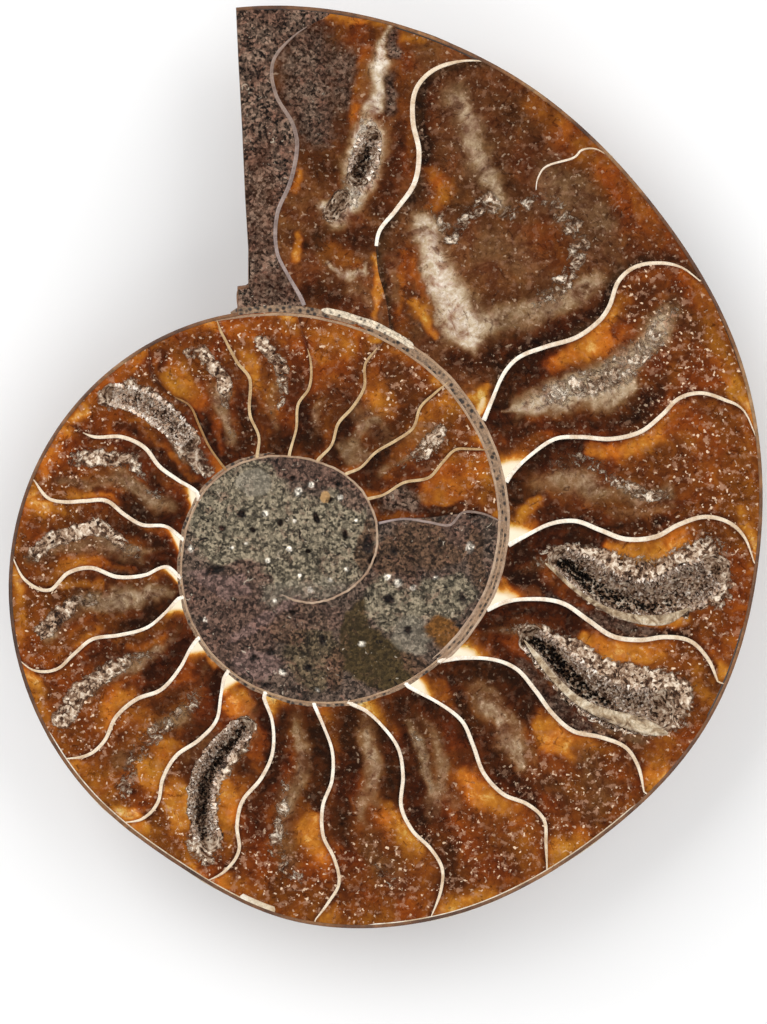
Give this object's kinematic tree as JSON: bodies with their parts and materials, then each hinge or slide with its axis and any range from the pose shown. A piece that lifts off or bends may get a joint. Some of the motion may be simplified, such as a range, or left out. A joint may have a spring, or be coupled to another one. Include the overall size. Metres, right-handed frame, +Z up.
{
  "type": "ammonite fossil half",
  "caption": "Sawn and polished half of a coiled ammonite fossil: a flat face with curved crystal-filled chambers round a stone core, and a rounded, faintly ribbed shell back",
  "frame": {"origin": "Under the middle of the outline seen from above, on the surface that the half lies on", "axes": "+Z up, out of the polished face; +Y along the longest way of the outline, towards the sawn last chamber; +X to the right, looking down on the face"},
  "size_m": [0.0976, 0.1196, 0.015],
  "materials": {
    "fossil_stone": "amber to dark brown calcite with cream septa and a grey-brown siltstone core, sawn flat and polished on top; brown, faintly ribbed shell below",
    "crystal_crust": "rough crust of small glassy grey-white calcite crystals"
  },
  "bodies": {
    "root": {"ammonite_half": "fossil_stone", "crust_first_chamber": "crystal_crust", "crust_fifth_chamber": "crystal_crust", "crust_sixth_chamber": "crystal_crust", "crust_eleventh_chamber": "crystal_crust", "crust_seventeenth_chamber": "crystal_crust"}
  },
  "joints": []
}
